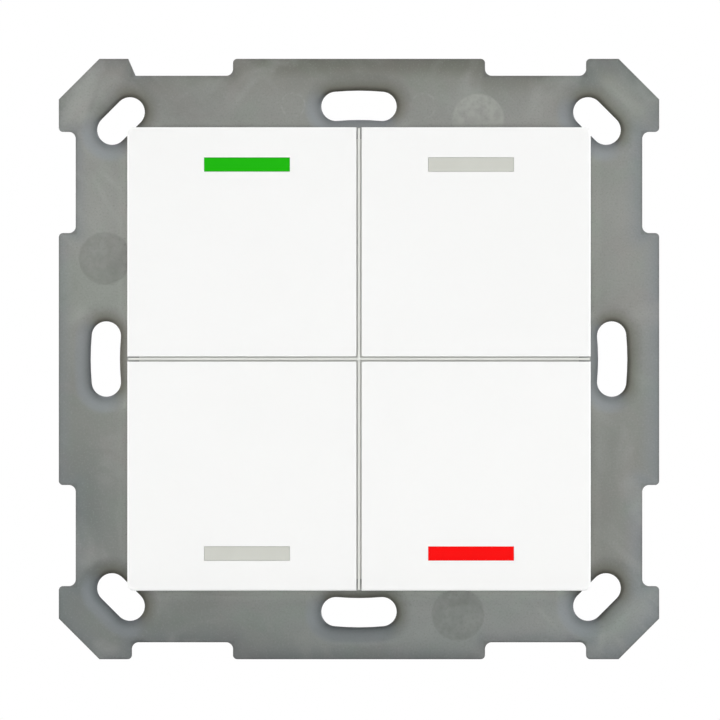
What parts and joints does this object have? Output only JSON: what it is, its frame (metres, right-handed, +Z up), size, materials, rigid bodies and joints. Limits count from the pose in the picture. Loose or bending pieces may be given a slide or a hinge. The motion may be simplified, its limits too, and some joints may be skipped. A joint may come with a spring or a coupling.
{
  "type": "push-button sensor",
  "caption": "Square flush-mounted push-button sensor with hinged white buttons, light bars and a slotted zinc support plate, with a bus socket and a programming button at the rear.",
  "frame": {"origin": "centre of the support plate on its rear face, the wall plane", "axes": "+X to the right seen from the front, +Y into the wall, +Z up; the front faces -Y"},
  "size_m": [0.071, 0.013, 0.071],
  "materials": {
    "plate_zinc": "die-cast zinc, satin",
    "housing_grey": "fine texture",
    "carrier_grey": "fine texture",
    "button_white": "satin gloss",
    "light_green": "lit",
    "light_red": "lit",
    "light_unlit": "frosted",
    "board_green": "solder mask",
    "switch_black": "moulded",
    "button_grey": "moulded",
    "led_white": "moulded",
    "led_red": "clear tinted",
    "pin_metal": "tinned",
    "chip_black": "moulded",
    "capacitor_amber": "moulded"
  },
  "bodies": {
    "base": {"mounting_plate": "plate_zinc", "rear_housing": "housing_grey", "button_carrier": "carrier_grey", "circuit_board": "board_green", "programming_switch": "switch_black", "programming_led": "led_red", "bus_pin_left": "pin_metal", "bus_pin_right": "pin_metal", "microcontroller": "chip_black", "bus_transceiver": "chip_black", "buffer_capacitor": "capacitor_amber", "switch_body_top_left": "switch_black", "status_led_top_left": "led_white", "switch_body_top_right": "switch_black", "status_led_top_right": "led_white", "switch_body_bottom_left": "switch_black", "status_led_bottom_left": "led_white", "switch_body_bottom_right": "switch_black", "status_led_bottom_right": "led_white"},
    "top_left_button": {"button_top_left": "button_white", "light_guide_top_left": "light_green"},
    "top_left_stem": {"switch_stem_top_left": "button_grey"},
    "top_right_button": {"button_top_right": "button_white", "light_guide_top_right": "light_unlit"},
    "top_right_stem": {"switch_stem_top_right": "button_grey"},
    "bottom_left_button": {"button_bottom_left": "button_white", "light_guide_bottom_left": "light_unlit"},
    "bottom_left_stem": {"switch_stem_bottom_left": "button_grey"},
    "bottom_right_button": {"button_bottom_right": "button_white", "light_guide_bottom_right": "light_red"},
    "bottom_right_stem": {"switch_stem_bottom_right": "button_grey"},
    "programming_button": {"programming_button": "button_grey"}
  },
  "joints": [
    {"name": "top_left_tilt", "type": "hinge", "parent": "base", "child": "top_left_button", "pos_m": [0, -0.0086, 0.0032], "axis": [-1, 0, 0], "range_deg": [0, 1.6], "stiffness_Nm_per_rad": 0.35, "springref_deg": -1.72},
    {"name": "top_left_stem_travel", "type": "slide", "parent": "base", "child": "top_left_stem", "axis": [0, 1, 0], "range_m": [0, 0.00036]},
    {"name": "top_right_tilt", "type": "hinge", "parent": "base", "child": "top_right_button", "pos_m": [0, -0.0086, 0.0032], "axis": [-1, 0, 0], "range_deg": [0, 1.6], "stiffness_Nm_per_rad": 0.35, "springref_deg": -1.72},
    {"name": "top_right_stem_travel", "type": "slide", "parent": "base", "child": "top_right_stem", "axis": [0, 1, 0], "range_m": [0, 0.00036]},
    {"name": "bottom_left_tilt", "type": "hinge", "parent": "base", "child": "bottom_left_button", "pos_m": [0, -0.0086, -0.0032], "axis": [1, 0, 0], "range_deg": [0, 1.6], "stiffness_Nm_per_rad": 0.35, "springref_deg": -1.72},
    {"name": "bottom_left_stem_travel", "type": "slide", "parent": "base", "child": "bottom_left_stem", "axis": [0, 1, 0], "range_m": [0, 0.00036]},
    {"name": "bottom_right_tilt", "type": "hinge", "parent": "base", "child": "bottom_right_button", "pos_m": [0, -0.0086, -0.0032], "axis": [1, 0, 0], "range_deg": [0, 1.6], "stiffness_Nm_per_rad": 0.35, "springref_deg": -1.72},
    {"name": "bottom_right_stem_travel", "type": "slide", "parent": "base", "child": "bottom_right_stem", "axis": [0, 1, 0], "range_m": [0, 0.00036]},
    {"name": "programming_press", "type": "slide", "parent": "base", "child": "programming_button", "axis": [0, -1, 0], "range_m": [0, 0.0003], "stiffness_N_per_m": 1500, "springref_m": -0.0003}
  ],
  "couplings": [
    {"joint": "top_left_stem_travel", "follows": "top_left_tilt", "m_per_rad": 0.0128},
    {"joint": "top_right_stem_travel", "follows": "top_right_tilt", "m_per_rad": 0.0128},
    {"joint": "bottom_left_stem_travel", "follows": "bottom_left_tilt", "m_per_rad": 0.0128},
    {"joint": "bottom_right_stem_travel", "follows": "bottom_right_tilt", "m_per_rad": 0.0128}
  ]
}
